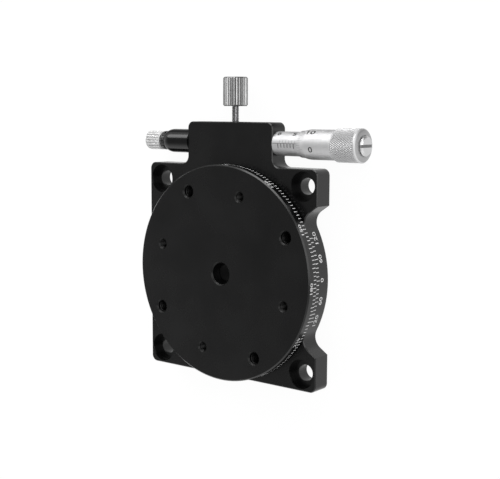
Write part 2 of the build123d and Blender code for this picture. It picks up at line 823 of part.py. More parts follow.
with BuildPart() as spring_seat:
    with BuildSketch(drive_plane):
        with BuildLine():
            Polyline(
                (-seat_front_x + seat_spigot_length, 0),
                (-seat_front_x + seat_spigot_length, seat_spigot_radius),
                (-seat_front_x, seat_spigot_radius),
                (-seat_front_x, housing_bore_radius - running_fit),
                (-seat_back_x, housing_bore_radius - running_fit),
                (-seat_back_x, 0),
                close=True,
            )
        make_face()
    revolve(axis=drive_axis)
save(spring_seat.part, "spring_seat")

# Compression spring inside the plunger, from the end of its bore to the seat
with BuildPart() as plunger_spring:
    spring_start_x = -seat_front_x + spring_wire_radius + locating_fit
    spring_end_x = bore_end_x - spring_wire_radius - locating_fit
    with BuildLine() as coil:
        Helix(
            spring_pitch,
            spring_end_x - spring_start_x,
            spring_radius,
            center=(spring_start_x, drive_radius, drive_z),
            direction=(1, 0, 0),
        )
    with BuildSketch(Plane(origin=coil.line @ 0, z_dir=coil.line % 0)):
        Circle(spring_wire_radius)
    sweep(path=coil.line, is_frenet=True)
save(plunger_spring.part, "plunger_spring")

# Preload screw, its notched lock ring and its fluted knob
lock_ring_end_x = housing_end_x + lock_ring_length
preload_knob_x = lock_ring_end_x + preload_travel + edge_break / 2
preload_socket = preload_knob_length / 2

with BuildPart() as preload_screw:
    with BuildSketch(drive_plane):
        with BuildLine():
            Polyline(
                (-seat_back_x - locating_fit, 0),
                (-seat_back_x - locating_fit, preload_screw_radius),
                (-preload_knob_x - preload_socket, preload_screw_radius),
                (-preload_knob_x - preload_socket, 0),
                close=True,
            )
        make_face()
    revolve(axis=drive_axis)
save(preload_screw.part, "preload_screw")

with BuildPart() as lock_ring:
    with BuildSketch(drive_plane):
        with BuildLine():
            Polyline(
                (-housing_end_x, preload_screw_radius + running_fit),
                (-housing_end_x, lock_ring_radius - edge_break),
                (-housing_end_x - edge_break, lock_ring_radius),
                (-lock_ring_end_x + edge_break, lock_ring_radius),
                (-lock_ring_end_x, lock_ring_radius - edge_break),
                (-lock_ring_end_x, preload_screw_radius + running_fit),
                close=True,
            )
        make_face()
    revolve(axis=drive_axis)
    ring_face = Plane(
        origin=(-lock_ring_end_x, drive_radius, drive_z), x_dir=(0, 1, 0), z_dir=(1, 0, 0)
    )
    with BuildSketch(ring_face):
        with PolarLocations(lock_ring_radius, lock_ring_notches):
            Rectangle(2 * edge_break, 2 * edge_break)
    extrude(amount=lock_ring_length, mode=Mode.SUBTRACT)
save(lock_ring.part, "lock_ring")

preload_knob = fluted_knob(
    drive_plane, drive_axis, -preload_knob_x, -preload_knob_x - preload_knob_length,
    preload_knob_radius, preload_socket, preload_screw_radius + locating_fit,
    preload_knob_flutes, preload_knob_flute_side,
)
save(preload_knob, "preload_knob")

print("arm swing of", arm_swing, "degrees needs a drive travel of", round(drive_travel, 4), "mm")
print("that is", round(drive_travel / drive_pitch * 360, 2), "degrees of thimble")
print("radians of arm per radian of thimble", drive_pitch / (2 * pi) / drive_radius)
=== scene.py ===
import bmesh
import bpy
import json
from math import ceil, cos, pi, radians, sin
from mathutils import Matrix, Vector


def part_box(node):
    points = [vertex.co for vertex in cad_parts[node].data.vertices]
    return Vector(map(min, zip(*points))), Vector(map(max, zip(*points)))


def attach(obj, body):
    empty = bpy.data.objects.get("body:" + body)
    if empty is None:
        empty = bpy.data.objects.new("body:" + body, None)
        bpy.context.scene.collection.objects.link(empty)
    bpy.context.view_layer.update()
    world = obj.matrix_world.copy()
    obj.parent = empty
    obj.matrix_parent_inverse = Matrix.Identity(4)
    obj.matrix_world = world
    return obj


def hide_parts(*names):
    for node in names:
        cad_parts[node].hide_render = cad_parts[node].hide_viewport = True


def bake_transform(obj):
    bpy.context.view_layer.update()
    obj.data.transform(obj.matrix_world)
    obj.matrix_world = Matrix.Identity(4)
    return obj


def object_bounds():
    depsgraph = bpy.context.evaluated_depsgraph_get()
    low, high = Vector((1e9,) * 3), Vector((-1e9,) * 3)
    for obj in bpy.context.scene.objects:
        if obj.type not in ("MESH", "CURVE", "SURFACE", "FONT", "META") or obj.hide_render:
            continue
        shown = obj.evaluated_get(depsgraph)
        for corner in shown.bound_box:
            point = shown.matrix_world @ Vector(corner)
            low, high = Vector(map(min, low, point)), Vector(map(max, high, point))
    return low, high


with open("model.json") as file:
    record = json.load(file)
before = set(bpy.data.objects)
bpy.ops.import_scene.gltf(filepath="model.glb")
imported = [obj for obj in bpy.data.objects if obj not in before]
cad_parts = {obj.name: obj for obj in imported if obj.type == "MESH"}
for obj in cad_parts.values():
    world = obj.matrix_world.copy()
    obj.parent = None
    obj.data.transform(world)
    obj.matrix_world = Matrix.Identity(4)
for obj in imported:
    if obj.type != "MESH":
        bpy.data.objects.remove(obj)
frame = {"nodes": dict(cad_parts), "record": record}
cad_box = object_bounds()
nodes = frame["nodes"]

# Lengths below are millimetres, up to where a mesh or a material takes them
MM = 0.001


def limits(node):
    """Lowest and highest corner of a solid, in millimetres."""
    low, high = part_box(node)
    return low / MM, high / MM


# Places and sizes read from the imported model
table_high = limits("rotary_table")[1]
table_radius = table_high.x
table_top = table_high.z
plate_top = limits("base_plate")[1].z
sleeve_low, sleeve_high = limits("micrometer_sleeve")
drive_y = (sleeve_low.y + sleeve_high.y) / 2
drive_z = (sleeve_low.z + sleeve_high.z) / 2
sleeve_radius = (sleeve_high.y - sleeve_low.y) / 2
thimble_low, thimble_high = limits("thimble")
knurl_radius = (thimble_high.y - thimble_low.y) / 2
clamp_low, clamp_high = limits("clamp_knob")
clamp_knob_radius = (clamp_high.x - clamp_low.x) / 2
clamp_screw_low, clamp_screw_high = limits("clamp_screw")
clamp_screw_radius = (clamp_screw_high.x - clamp_screw_low.x) / 2
preload_low, preload_high = limits("preload_knob")
preload_knob_radius = (preload_high.y - preload_low.y) / 2
preload_screw_low, preload_screw_high = limits("preload_screw")
preload_screw_radius = (preload_screw_high.y - preload_screw_low.y) / 2
spring_low, spring_high = limits("plunger_spring")
spring_outer_radius = (spring_high.y - spring_low.y) / 2

# Sizes that repeat the solids' own
plate_edge_break = 0.25
ring_radius = 29.5
block_face = 15.0
thimble_edge_radius = 3.55
thimble_radius = 3.95
thimble_bore_radius = 3.3
thimble_bevel_length = 3.2
knurl_start = 10.7          # from the thimble's edge
knurl_end = 18.2
thimble_end_wall = 3.0
thimble_end_radius = 3.25
spindle_end_radius = 1.27
large_hole_radius = 1.65
large_hole_circle = 25.0
small_hole_radius = 1.25
small_hole_circle = 22.5
hole_angle = 28.0           # of the first large hole, in degrees from the X axis
centre_hole_radius = 3.0
hole_mouth = 0.35
web_bottom = 6.1            # of the table's disc
spring_wire_radius = 0.15
spring_pitch = 2.2
preload_travel = 0.5

# Camera, fitted to the photograph's frame of 500 x 479 pixels
photo_width = 500
focal_pixels = 1029.4
sensor_width = 36.0
clip_near = 0.01            # metres
clip_far = 10
camera_place = Vector((179.97, 45.29, 223.99)) * MM
camera_target = Vector((2.95, 8.81, 0.0)) * MM
camera_roll = radians(-0.2)

# Linear colours of the black metal, the bright metals and the paints
black_colour = (0.002, 0.002, 0.0021)
barrel_colour = (0.003, 0.003, 0.0031)
chrome_colour = (0.66, 0.66, 0.665)
sleeve_colour = (0.61, 0.61, 0.615)
bright_colour = (0.80, 0.80, 0.80)
nickel_colour = (0.49, 0.49, 0.49)
bright_nickel_colour = (0.70, 0.70, 0.70)
steel_colour = (0.45, 0.45, 0.455)
screw_colour = (0.50, 0.50, 0.505)
oxide_colour = (0.014, 0.014, 0.014)
# Painted shade: the black of the table's hole threads and hole mouths
hole_shade_colour = (0.001, 0.001, 0.001)
brass_colour = (0.62, 0.42, 0.16)
mark_colour = (0.62, 0.62, 0.62)
ink_colour = (0.012, 0.012, 0.012)
fine_ink_colour = (0.16, 0.16, 0.165)


def new_material(name):
    """A node material with its shader, ready for links."""
    material = bpy.data.materials.new(name)
    material.use_nodes = True
    shader = material.node_tree.nodes["Principled BSDF"]
    return material, material.node_tree, shader


def add_noise(tree, scale, detail=4.0, stretch=(1.0, 1.0, 1.0)):
    """Noise in the object's own metres, stretched along its axes."""
    place = tree.nodes.new("ShaderNodeTexCoord")
    mapping = tree.nodes.new("ShaderNodeMapping")
    mapping.inputs["Scale"].default_value = stretch
    noise = tree.nodes.new("ShaderNodeTexNoise")
    noise.inputs["Scale"].default_value = scale
    noise.inputs["Detail"].default_value = detail
    tree.links.new(place.outputs["Object"], mapping.inputs["Vector"])
    tree.links.new(mapping.outputs["Vector"], noise.inputs["Vector"])
    return noise


def add_ramp(tree, source, low, high, start=0.3, end=0.7, interpolation="LINEAR"):
    """A value that goes from low to high while its source goes from start to end."""
    ramp = tree.nodes.new("ShaderNodeMapRange")
    ramp.interpolation_type = interpolation
    ramp.inputs["From Min"].default_value = start
    ramp.inputs["From Max"].default_value = end
    ramp.inputs["To Min"].default_value = low
    ramp.inputs["To Max"].default_value = high
    tree.links.new(source, ramp.inputs["Value"])
    return ramp.outputs["Result"]


def add_bump(tree, shader, source, strength, distance):
    """Small relief on the surface; the distance is in metres."""
    bump = tree.nodes.new("ShaderNodeBump")
    bump.inputs["Strength"].default_value = strength
    bump.inputs["Distance"].default_value = distance
    tree.links.new(source, bump.inputs["Height"])
    tree.links.new(bump.outputs["Normal"], shader.inputs["Normal"])


def scale_colour(tree, colour, source, low, high):
    """A colour multiplied by a ramp of the noise."""
    mix = tree.nodes.new("ShaderNodeMix")
    mix.data_type = "RGBA"
    mix.inputs["A"].default_value = (*[c * low for c in colour], 1)
    mix.inputs["B"].default_value = (*[c * high for c in colour], 1)
    tree.links.new(add_ramp(tree, source, 0.0, 1.0), mix.inputs["Factor"])
    return mix.outputs["Result"]


def anodised(name, colour, roughness, specular):
    """Black anodised aluminium: fine blasted grain and faint cloudiness."""
    material, tree, shader = new_material(name)
    grain = add_noise(tree, scale=9000, detail=3)
    cloud = add_noise(tree, scale=90, detail=5)
    base = scale_colour(tree, colour, cloud.outputs["Fac"], low=0.8, high=1.25)
    tree.links.new(base, shader.inputs["Base Color"])
    rough = add_ramp(tree, cloud.outputs["Fac"], roughness - 0.03, roughness + 0.05)
    tree.links.new(rough, shader.inputs["Roughness"])
    shader.inputs["Specular IOR Level"].default_value = specular
    add_bump(tree, shader, grain.outputs["Fac"], strength=0.12, distance=0.00001)
    return material


def turned_metal(name, colour, roughness, axis, line_scale=1600, bump=0.15):
    """Turned metal: fine lines round the given axis and slightly uneven roughness."""
    material, tree, shader = new_material(name)
    drawn_out = 0.02
    stretch = [1.0 if letter == axis else drawn_out for letter in "xyz"]
    lines = add_noise(tree, line_scale, detail=2, stretch=stretch)
    cloud = add_noise(tree, scale=120, detail=4)
    base = scale_colour(tree, colour, cloud.outputs["Fac"], low=0.93, high=1.04)
    tree.links.new(base, shader.inputs["Base Color"])
    rough = add_ramp(tree, lines.outputs["Fac"], roughness - 0.05, roughness + 0.07)
    tree.links.new(rough, shader.inputs["Roughness"])
    shader.inputs["Metallic"].default_value = 1.0
    add_bump(tree, shader, lines.outputs["Fac"], bump, distance=0.000006)
    return material


def multiply_base(tree, shader, share):
    """Multiply the shader's base colour by a grey share."""
    source = shader.inputs["Base Color"].links[0].from_socket
    mix = tree.nodes.new("ShaderNodeMix")
    mix.data_type = "RGBA"
    mix.blend_type = "MULTIPLY"
    mix.inputs["Factor"].default_value = 1.0
    tree.links.new(source, mix.inputs["A"])
    tree.links.new(share, mix.inputs["B"])
    tree.links.new(mix.outputs["Result"], shader.inputs["Base Color"])


def add_math(tree, operation, first, second):
    """A maths node between two sockets, or a socket and a number."""
    node = tree.nodes.new("ShaderNodeMath")
    node.operation = operation
    for socket, value in zip(node.inputs, (first, second)):
        if isinstance(value, (int, float)):
            socket.default_value = value
        else:
            tree.links.new(value, socket)
    return node.outputs["Value"]


def darken_grooves(material, centre, axis, radius, depth, crest, darkest, start, end):
    """Painted shade in the grooves round a turned piece, between two places along its axis.

    The share of colour that is left rises from darkest, at the grooves' depth, to full, within
    crest of the radius.
    """
    root = radius - depth
    below_root = 0.06       # the piece's sockets and end faces stay plain
    tree = material.node_tree
    shader = tree.nodes["Principled BSDF"]
    place = tree.nodes.new("ShaderNodeTexCoord")
    shift = tree.nodes.new("ShaderNodeVectorMath")
    shift.operation = "SUBTRACT"
    shift.inputs[1].default_value = Vector(centre) * MM
    tree.links.new(place.outputs["Object"], shift.inputs[0])
    flatten = tree.nodes.new("ShaderNodeVectorMath")
    flatten.operation = "MULTIPLY"
    flatten.inputs[1].default_value = [0.0 if letter == axis else 1.0 for letter in "xyz"]
    tree.links.new(shift.outputs["Vector"], flatten.inputs[0])
    length = tree.nodes.new("ShaderNodeVectorMath")
    length.operation = "LENGTH"
    tree.links.new(flatten.outputs["Vector"], length.inputs[0])
    place_radius = length.outputs["Value"]
    shade = add_ramp(tree, place_radius, darkest, 1.0, root * MM, (radius - crest) * MM)
    inside = add_math(tree, "LESS_THAN", place_radius, (root - below_root) * MM)
    split = tree.nodes.new("ShaderNodeSeparateXYZ")
    tree.links.new(place.outputs["Object"], split.inputs["Vector"])
    along = split.outputs[axis.upper()]
    before = add_math(tree, "LESS_THAN", along, start * MM)
    after = add_math(tree, "GREATER_THAN", along, end * MM)
    plain = add_math(tree, "MAXIMUM", inside, add_math(tree, "MAXIMUM", before, after))
    multiply_base(tree, shader, add_math(tree, "MAXIMUM", shade, plain))


def shade_slab(material, axis, start, end, shade):
    """Painted shade on a slab of a material, between two places along an axis: there it keeps only
    a share of its colour.
    """
    tree = material.node_tree
    shader = tree.nodes["Principled BSDF"]
    place = tree.nodes.new("ShaderNodeTexCoord")
    split = tree.nodes.new("ShaderNodeSeparateXYZ")
    tree.links.new(place.outputs["Object"], split.inputs["Vector"])
    along = split.outputs[axis.upper()]
    before = add_math(tree, "LESS_THAN", along, start * MM)
    after = add_math(tree, "GREATER_THAN", along, end * MM)
    outside = add_math(tree, "MAXIMUM", before, after)
    multiply_base(tree, shader, add_math(tree, "MAXIMUM", shade, outside))


def flat_paint(name, colour, roughness):
    """Paint in an engraved mark, a little uneven."""
    material, tree, shader = new_material(name)
    cloud = add_noise(tree, scale=1500, detail=3)
    base = scale_colour(tree, colour, cloud.outputs["Fac"], low=0.85, high=1.1)
    tree.links.new(base, shader.inputs["Base Color"])
    shader.inputs["Roughness"].default_value = roughness
    shader.inputs["Specular IOR Level"].default_value = 0.3
    return material


black = anodised("black_anodised", black_colour, roughness=0.25, specular=0.4)
black_barrel = anodised("black_barrel", barrel_colour, roughness=0.16, specular=0.30)
oxide = anodised("black_oxide", oxide_colour, roughness=0.35, specular=0.5)
hole_shade_black = anodised("hole_shade_black", hole_shade_colour, roughness=0.35, specular=0.2)
chrome = turned_metal("satin_chrome", sleeve_colour, 0.56, "x")
thimble_metal = turned_metal("thimble_chrome", chrome_colour, 0.56, "x")
cap_metal = turned_metal("cap_chrome", chrome_colour, 0.40, "x")
bright = turned_metal("polished_steel", bright_colour, 0.14, "x")
nickel_y = turned_metal("nickel_y", nickel_colour, 0.40, "y", line_scale=300, bump=0.02)
nickel_x = turned_metal("nickel_x", bright_nickel_colour, 0.64, "x", line_scale=300, bump=0.02)
steel = turned_metal("ground_steel", steel_colour, 0.25, "z")
spring_wire = turned_metal("spring_wire", steel_colour, 0.25, "x")
screw_metal = turned_metal("screw_steel", screw_colour, 0.3, "y")
brass = turned_metal("brass", brass_colour, 0.3, "y")
white_mark = flat_paint("white_mark", mark_colour, roughness=0.6)
black_ink = flat_paint("black_ink", ink_colour, roughness=0.5)
fine_ink = flat_paint("fine_ink", fine_ink_colour, roughness=0.5)

# The thimble's places along the drive, painted shade in the grooves of its knurl and of the two
# knobs, and painted shade on the thimble's end face and in the cap's slot
thimble_edge = thimble_low.x
thimble_end = thimble_high.x
knurl_lead = 0.25
knurl_tail = 0.45
knurl_depth = 0.22
knurl_start_x = thimble_edge + knurl_start
knurl_end_x = thimble_edge + knurl_end
knurl_first = knurl_start_x + knurl_lead
knurl_last = knurl_end_x - knurl_tail
end_chamfer = 0.3
past_end = 1.0              # how far a slab of painted shade goes on outside the metal
flute_depth = 0.28
cap_slot_width = 0.75
drive_line = (0, drive_y, drive_z)
clamp_line = (0, 0, drive_z)
darken_grooves(
    thimble_metal, drive_line, "x", knurl_radius, knurl_depth, crest=0.02, darkest=0.82,
    start=knurl_first, end=knurl_last,
)
darken_grooves(
    nickel_y, clamp_line, "y", clamp_knob_radius, flute_depth, crest=0.06, darkest=0.25,
    start=clamp_low.y, end=clamp_high.y,
)
darken_grooves(
    nickel_x, drive_line, "x", preload_knob_radius, flute_depth, crest=0.04, darkest=0.85,
    start=preload_low.x, end=preload_high.x,
)
# Painted shade on the thimble's end face and its end groove
shade_slab(thimble_metal, "x", knurl_end_x + end_chamfer, thimble_end + past_end, shade=0.7)
# Painted shade in the cap's slot
slot_low = drive_y - cap_slot_width / 2
shade_slab(cap_metal, "y", slot_low, slot_low + cap_slot_width, shade=0.3)

material_of_slot = {
    "black_anodised": black,
    "black_housing": black_barrel,
    "satin_chrome": chrome,
    "polished_steel": bright,
    "nickel": nickel_y,
    "bearing_steel": steel,
    "spring_steel": spring_wire,
    "screw_steel": screw_metal,
    "black_oxide": oxide,
    "brass": brass,
}
smooth_angle = radians(32)


def dress(obj, material):
    """Give an object its one material and smooth shading."""
    obj.data.materials.clear()
    obj.data.materials.append(material)
    obj.data.shade_smooth()
    obj.data.set_sharp_from_angle(angle=smooth_angle)
    return obj


for part in frame["record"]["subparts"]:
    dress(nodes[part["node"]], material_of_slot[part["material_slot"]])
dress(nodes["preload_knob"], nickel_x)
dress(nodes["thimble_cap"], cap_metal)


def spot_on_z(radius, angle, height):
    """Where a flat point goes on a cylinder round Z, read from outside with its top towards +Z."""

    def spot(x, y):
        turn = radians(angle) + x / radius
        return Vector((radius * cos(turn), radius * sin(turn), height + y))

    return spot


def spot_on_drive(radius_at, start, angle):
    """Where a flat point goes on the drive's barrel, read along +X with its top towards +Y."""

    def spot(x, y):
        radius = radius_at(start + x)
        turn = radians(angle) + y / radius
        return Vector((start + x, drive_y + radius * sin(turn), drive_z + radius * cos(turn)))

    return spot


def finish_piece(name, work, material, body):
    """Make the object from a mesh in millimetres, and put it on its body."""
    bmesh.ops.scale(work, vec=(MM, MM, MM), verts=work.verts)
    mesh = bpy.data.meshes.new(name)
    work.to_mesh(mesh)
    work.free()
    obj = bpy.data.objects.new(name, mesh)
    bpy.context.scene.collection.objects.link(obj)
    dress(obj, material)
    if body:
        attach(obj, body)
    return obj


arc = 0.2                   # longest flat strip of a mark that bends round the drive
flat_length = 10.0          # a mark that needn't bend stays one strip
word_weight = 0.012
letter_steps = 3


def add_grid(work, spot, x_steps, y_steps):
    """A sheet through the given flat steps, which spot puts in space."""
    rows = [[work.verts.new(spot(x, y)) for x in x_steps] for y in y_steps]
    for low, high in zip(rows, rows[1:]):
        for a, b, c, d in zip(low, low[1:], high[1:], high):
            work.faces.new((a, b, c, d))


def steps(start, end, longest):
    """Even steps from start to end, none longer than the given length."""
    count = max(1, ceil(abs(end - start) / longest))
    return [start + (end - start) * i / count for i in range(count + 1)]


def add_tick(work, spot, x, width, low, high, longest=flat_length):
    """A mark of the given width from low to high."""
    add_grid(work, spot, (x - width / 2, x + width / 2), steps(low, high, longest))


def flat_words(words, weight):
    """The words' filled outline as a flat mesh, with its lower left corner at the origin."""
    curve = bpy.data.curves.new("words", "FONT")
    curve.body = words
    curve.resolution_u = letter_steps
    curve.offset = weight
    source = bpy.data.objects.new("words", curve)
    bpy.context.scene.collection.objects.link(source)
    bpy.context.view_layer.update()
    depsgraph = bpy.context.evaluated_depsgraph_get()
    mesh = bpy.data.meshes.new_from_object(source.evaluated_get(depsgraph))
    work = bmesh.new()
    work.from_mesh(mesh)
    bpy.data.meshes.remove(mesh)
    bpy.data.objects.remove(source)
    bpy.data.curves.remove(curve)
    left = min(v.co.x for v in work.verts)
    bottom = min(v.co.y for v in work.verts)
    bmesh.ops.translate(work, vec=(-left, -bottom, 0), verts=work.verts)
    return work


def add_words(work, words, spot, digit_width, height, cut=None, weight=word_weight):
    """Words centred on the spot, cut across into strips narrow enough to bend."""
    flat = flat_words(words, weight)
    tall = max(v.co.y for v in flat.verts)
    wide = max(v.co.x for v in flat.verts)
    across = digit_width * len(words) / wide
    for vert in flat.verts:
        vert.co.x = (vert.co.x - wide / 2) * across
        vert.co.y = (vert.co.y - tall / 2) * height / tall
    if cut:
        for level in steps(-height / 2, height / 2, cut)[1:-1]:
            bmesh.ops.bisect_plane(
                flat, geom=flat.verts[:] + flat.edges[:] + flat.faces[:],
                plane_co=(0, level, 0), plane_no=(0, 1, 0),
            )
    copies = {vert: work.verts.new(spot(vert.co.x, vert.co.y)) for vert in flat.verts}
    for face in flat.faces:
        corners = [copies[vert] for vert in face.verts]
        if face.normal.z < 0:
            corners.reverse()
        work.faces.new(corners)
    flat.free()


# Scale on the table's side: a line each two degrees, a longer one each ten, numbers each thirty
mark_lift = 0.012
mark_width = 0.2
table_mark_start = web_bottom + 0.3
table_mark_end = web_bottom + 1.4
table_long_mark_end = web_bottom + 1.75
table_number_place = table_top - 0.98
degrees_each = 2
number_degrees = 30
first_number = 150          # at the first large hole
table_mark_radius = table_radius + mark_lift
table_marks = bmesh.new()
for step in range(360 // degrees_each):
    angle = hole_angle + degrees_each * step
    add_tick(
        table_marks, spot_on_z(table_mark_radius, angle, 0), 0, mark_width,
        table_mark_start, table_mark_end if step % 5 else table_long_mark_end,
    )
finish_piece("table_scale", table_marks, white_mark, "table")
table_numbers = bmesh.new()
for turn in range(0, 360, number_degrees):
    add_words(
        table_numbers, str((first_number - turn) % 360),
        spot_on_z(table_mark_radius, hole_angle + turn, table_number_place),
        digit_width=1.0, height=1.1,
    )
finish_piece("table_numbers", table_numbers, white_mark, "table")

# Vernier on the base's round side: ten spaces over twenty-two degrees each way, 12 minutes each
vernier_angle = 1.0
vernier_space = 2.2
spaces_each_way = 10
minutes_each = 12
vernier_mark_length = 1.45
vernier_long_mark_length = 1.75
vernier_mark_end = plate_top - plate_edge_break - 0.02
vernier_number_place = 3.0
vernier_radius = ring_radius + mark_lift
vernier_marks = bmesh.new()
for step in range(-spaces_each_way, spaces_each_way + 1):
    angle = vernier_angle + step * vernier_space
    mark_length = vernier_mark_length if step % 5 else vernier_long_mark_length
    add_tick(
        vernier_marks, spot_on_z(vernier_radius, angle, 0), 0, mark_width,
        plate_top - mark_length, vernier_mark_end,
    )
finish_piece("vernier_scale", vernier_marks, white_mark, "base")
vernier_numbers = bmesh.new()
for step in range(-spaces_each_way, spaces_each_way + 1, 5):
    angle = vernier_angle + step * vernier_space
    add_words(
        vernier_numbers, str(minutes_each * abs(step)),
        spot_on_z(vernier_radius, angle, vernier_number_place), digit_width=1.12, height=1.4,
    )
finish_piece("vernier_numbers", vernier_numbers, white_mark, "base")

# Sleeve: an index line, a mark each millimetre below it, fine half marks above it, and a number
# each five
ink_lift = 0.01
index_angle = 3.0
index_width = 0.09
index_start = block_face + 0.02
index_end = sleeve_high.x - 0.6
first_mark = 17.0
last_reading = 17
sleeve_mark_length = 1.1
sleeve_long_mark_length = 1.35
half_mark_width = 0.08
half_mark_length = 0.9
sleeve_number_angle = 54.0
sleeve_number_shift = 0.4
sleeve_number_height = 1.15
sleeve_digit_width = 1.05
sleeve_pair_digit_width = 0.9
sleeve_number_weight = 0.035


def sleeve_surface(x):
    """Radius of the sleeve's ink, the same all along."""
    return sleeve_radius + ink_lift


sleeve_spot = spot_on_drive(sleeve_surface, 0, index_angle)
sleeve_marks = bmesh.new()
add_grid(sleeve_marks, sleeve_spot, (index_start, index_end), (-index_width / 2, index_width / 2))
for step in range(last_reading + 1):
    low = -(sleeve_mark_length if step % 5 else sleeve_long_mark_length)
    add_tick(sleeve_marks, sleeve_spot, first_mark + step, mark_width, low, 0.0, arc)
finish_piece("sleeve_scale", sleeve_marks, black_ink, "base")
half_marks = bmesh.new()
for step in range(last_reading):
    middle = first_mark + step + 0.5
    add_tick(half_marks, sleeve_spot, middle, half_mark_width, 0.0, half_mark_length, arc)
finish_piece("sleeve_half_marks", half_marks, fine_ink, "base")
sleeve_numbers = bmesh.new()
for step in range(0, last_reading, 5):
    words = str(step)
    middle = first_mark + step - sleeve_number_shift
    add_words(
        sleeve_numbers, words, spot_on_drive(sleeve_surface, middle, sleeve_number_angle),
        sleeve_digit_width if len(words) == 1 else sleeve_pair_digit_width,
        sleeve_number_height, arc, sleeve_number_weight,
    )
finish_piece("sleeve_numbers", sleeve_numbers, black_ink, "base")

# Thimble: bevelled edge, smooth barrel, diamond knurl, bright end chamfer and a grooved end face
bevel_end = thimble_edge + thimble_bevel_length
bevel_halvings = 30


def bevel_radius(x):
    """The bevel's rise from the edge to the barrel: a cubic curve, level at both ends."""
    share = min(1.0, max(0.0, (x - thimble_edge) / thimble_bevel_length))
    low, high = 0.0, 1.0
    for _ in range(bevel_halvings):
        middle = (low + high) / 2
        along = 3 * middle * (1 - middle) * 0.5 + middle ** 3
        low, high = (middle, high) if along < share else (low, middle)
    rise = 3 * middle ** 2 * (1 - middle) + middle ** 3
    return thimble_edge_radius + (thimble_radius - thimble_edge_radius) * rise


def turn_profile(work, profile, segments, place):
    """A turned surface through the profile's points; place puts (along, radius, turn) in space."""
    rings = []
    for along, radius in profile:
        turns = [2 * pi * i / segments for i in range(segments)] if radius else [0]
        rings.append([work.verts.new(place(along, radius, turn)) for turn in turns])
    for first, second in zip(rings, rings[1:]):
        for i in range(segments):
            j = (i + 1) % segments
            if len(first) == 1:
                work.faces.new((first[0], second[j], second[i]))
            elif len(second) == 1:
                work.faces.new((first[i], first[j], second[0]))
            else:
                work.faces.new((first[i], first[j], second[j], second[i]))


def on_drive(along, radius, turn):
    """A point on a piece turned about the drive's axis."""
    return Vector((along, drive_y + radius * sin(turn), drive_z + radius * cos(turn)))


def on_clamp(along, radius, turn):
    """A point on a piece turned about the clamp screw's axis."""
    return Vector((radius * cos(turn), along, drive_z + radius * sin(turn)))


barrel_segments = 100
knurl_levels = 16
groove_width = 0.12         # before the knurl
groove_depth = 0.05
knurl_rim = 0.12            # behind the knurl
end_groove_outer = 2.75
end_groove_inner = 2.05
end_groove_slant = 0.1
end_groove_depth = 0.35
bevel_step = 0.2
seam = 0.0005
bore_end = thimble_end - thimble_end_wall
front = [
    (bore_end, spindle_end_radius),
    (bore_end, thimble_bore_radius),
    (thimble_edge, thimble_bore_radius),
]
front += [(x, bevel_radius(x)) for x in steps(thimble_edge, bevel_end, bevel_step)]
front += [
    (knurl_start_x - groove_width, thimble_radius),
    (knurl_start_x - groove_depth, thimble_radius - groove_depth),
    (knurl_start_x, thimble_radius),
    (knurl_first, knurl_radius - knurl_depth),
]
back = [
    (knurl_last, knurl_radius - knurl_depth),
    (knurl_last + knurl_rim, knurl_radius),
    (knurl_end_x, knurl_radius),
    (knurl_end_x + end_chamfer, knurl_radius - end_chamfer),
    (thimble_end, thimble_end_radius),
    (thimble_end, end_groove_outer),
    (thimble_end - end_groove_depth, end_groove_outer - end_groove_slant),
    (thimble_end - end_groove_depth, end_groove_inner + end_groove_slant),
    (thimble_end, end_groove_inner),
    (thimble_end, spindle_end_radius),
    (bore_end, spindle_end_radius),
]
thimble_piece = bmesh.new()
turn_profile(thimble_piece, front, barrel_segments, on_drive)
rows = []
for row in range(knurl_levels + 1):
    x = knurl_first + (knurl_last - knurl_first) * row / knurl_levels
    ring = []
    for column in range(barrel_segments):
        peak = (row + column) % 2 == 1 and 0 < row < knurl_levels
        radius = knurl_radius - (0 if peak else knurl_depth)
        turn = 2 * pi * column / barrel_segments
        ring.append(thimble_piece.verts.new(on_drive(x, radius, turn)))
    rows.append(ring)
for row, (first, second) in enumerate(zip(rows, rows[1:])):
    for column in range(barrel_segments):
        after = (column + 1) % barrel_segments
        a, b, c, d = first[column], first[after], second[after], second[column]
        corners = ((a, b, d), (b, c, d)) if (row + column) % 2 else ((a, b, c), (a, c, d))
        for triangle in corners:
            thimble_piece.faces.new(triangle)
turn_profile(thimble_piece, back, barrel_segments, on_drive)
bmesh.ops.remove_doubles(thimble_piece, verts=thimble_piece.verts, dist=seam)
bmesh.ops.recalc_face_normals(thimble_piece, faces=thimble_piece.faces)
thimble_body = finish_piece(
    "thimble_barrel", thimble_piece, thimble_metal, "thimble"
)
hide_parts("thimble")

# Thimble's scale: fifty marks on the bevel, a longer one each five, and a number each ten
zero_angle = -18.0
thimble_mark_count = 50
mark_turn = 360 / thimble_mark_count
thimble_mark_start = 0.08
thimble_mark_end = 1.35
thimble_long_mark_end = 2.0
thimble_mark_width = 0.06
thimble_number_place = 27.72
thimble_digit_shift = 0.62


def thimble_surface(x):
    """Radius of the thimble's ink at a place along it."""
    return bevel_radius(x) + ink_lift


thimble_marks = bmesh.new()
for step in range(thimble_mark_count):
    mark_end = thimble_mark_end if step % 5 else thimble_long_mark_end
    add_grid(
        thimble_marks, spot_on_drive(thimble_surface, 0, zero_angle + mark_turn * step),
        steps(thimble_edge + thimble_mark_start, thimble_edge + mark_end, arc),
        (-thimble_mark_width / 2, thimble_mark_width / 2),
    )
finish_piece("thimble_scale", thimble_marks, fine_ink, "thimble")
thimble_numbers = bmesh.new()
for step in range(0, thimble_mark_count, 10):
    words = str(step)
    middle = thimble_number_place - thimble_digit_shift * (len(words) - 1)
    add_words(
        thimble_numbers, words,
        spot_on_drive(thimble_surface, middle, zero_angle + mark_turn * step),
        digit_width=1.25, height=1.5, cut=arc,
    )
finish_piece("thimble_numbers", thimble_numbers, black_ink, "thimble")


